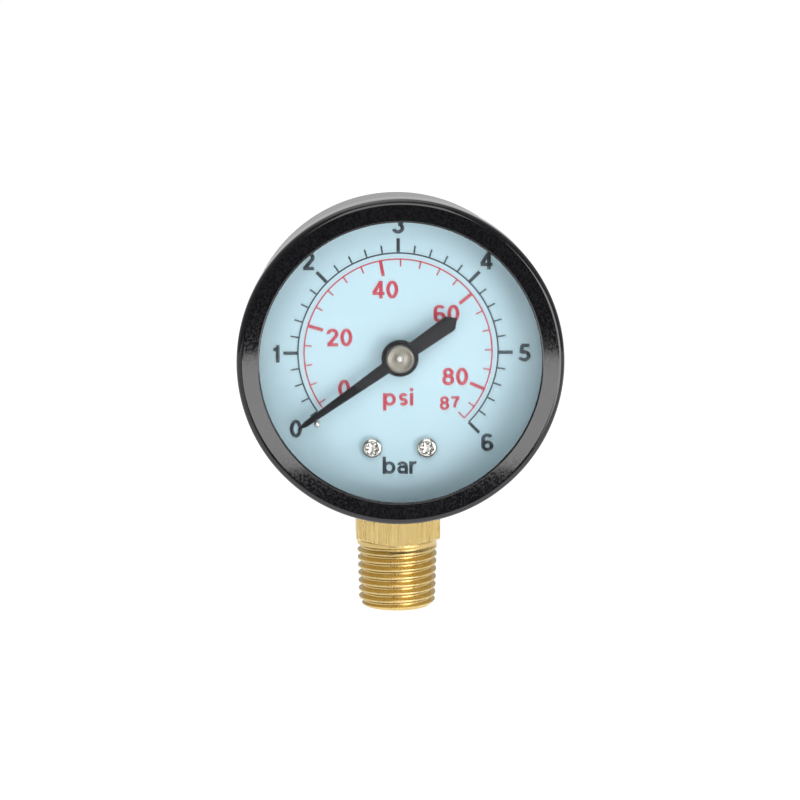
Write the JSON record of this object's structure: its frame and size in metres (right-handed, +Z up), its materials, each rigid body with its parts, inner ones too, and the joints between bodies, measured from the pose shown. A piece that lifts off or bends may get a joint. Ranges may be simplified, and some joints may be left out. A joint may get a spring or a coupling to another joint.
{
  "type": "pressure gauge",
  "caption": "Round dial pressure gauge with a black steel case and bezel, bar and psi scales, and a bottom brass stem with spanner flats and a taper thread.",
  "frame": {"origin": "centre of the stem's open end, where the pressure enters", "axes": "+Z up along the stem towards the case; the dial faces -Y; +X is to the right of the dial"},
  "size_m": [0.053, 0.0287, 0.0705],
  "materials": {
    "brass_stem": "sawn and turned brass, satin, with fine drawing lines along the flats",
    "brass_movement": "stamped and turned brass, satin",
    "black_case": "black gloss stoving enamel on drawn steel",
    "black_bezel": "black gloss stoving enamel on drawn steel",
    "clear_window": "clear flat window, polished",
    "black_rubber": "moulded black rubber, matt",
    "white_dial": "white lacquer on aluminium sheet, printed in black and red",
    "nickel_screw": "nickel-plated steel, bright",
    "black_pointer": "black lacquer on stamped aluminium, satin",
    "bright_hub": "turned and nickel-plated, with fine turning rings",
    "steel_shaft": "turned steel, polished at the pivots",
    "bronze_tube": "drawn phosphor bronze tube, slightly heat-tinted near the soldered ends",
    "bronze_spring": "thin phosphor bronze strip"
  },
  "bodies": {
    "root": {"stem": "brass_stem", "case": "black_case", "bezel": "black_bezel", "window": "clear_window", "window_gasket": "black_rubber", "blowout_plug": "black_rubber", "dial": "white_dial", "dial_spacers": "brass_movement", "dial_screws": "nickel_screw", "stop_pin": "nickel_screw", "bourdon_tube": "bronze_tube", "movement_back_plate": "brass_movement", "movement_front_plate": "brass_movement", "movement_pillars": "brass_movement", "plate_screws": "nickel_screw", "movement_screws": "nickel_screw", "case_screws": "nickel_screw", "hairspring": "bronze_spring", "hairspring_stud": "brass_movement"},
    "sector_body": {"sector": "brass_movement", "sector_shaft": "steel_shaft", "sector_pin": "steel_shaft"},
    "pointer_body": {"pinion_shaft": "steel_shaft", "hairspring_collet": "brass_movement", "pointer_hub": "bright_hub", "pointer": "black_pointer"},
    "link_body": {"link": "brass_movement"},
    "tip_body": {"tube_tip": "brass_movement", "tip_pin": "steel_shaft"}
  },
  "joints": [
    {"name": "tip_slide", "type": "slide", "parent": "root", "child": "tip_body", "axis": [0, 0, 1], "range_m": [0, 0.00261], "stiffness_N_per_m": 60, "springref_m": -0.0003, "deforming": ["bourdon_tube"]},
    {"name": "sector_turn", "type": "hinge", "parent": "root", "child": "sector_body", "pos_m": [0.00674, 0, 0.03458], "axis": [0, 1, 0], "range_deg": [-31.6, 0.1]},
    {"name": "link_swing", "type": "hinge", "parent": "sector_body", "child": "link_body", "pos_m": [0.01136, 0, 0.03327], "axis": [0, 1, 0], "range_deg": [-0.1, 31.6]},
    {"name": "pointer_turn", "type": "hinge", "parent": "root", "child": "pointer_body", "pos_m": [0, 0, 0.0442], "axis": [0, 1, 0], "range_deg": [-0.1, 265], "deforming": ["hairspring"]}
  ],
  "couplings": [
    {"joint": "sector_turn", "follows": "tip_slide", "rad_per_m": -210.98},
    {"joint": "link_swing", "follows": "tip_slide", "rad_per_m": 210.98},
    {"joint": "pointer_turn", "follows": "tip_slide", "rad_per_m": 1772.2}
  ]
}
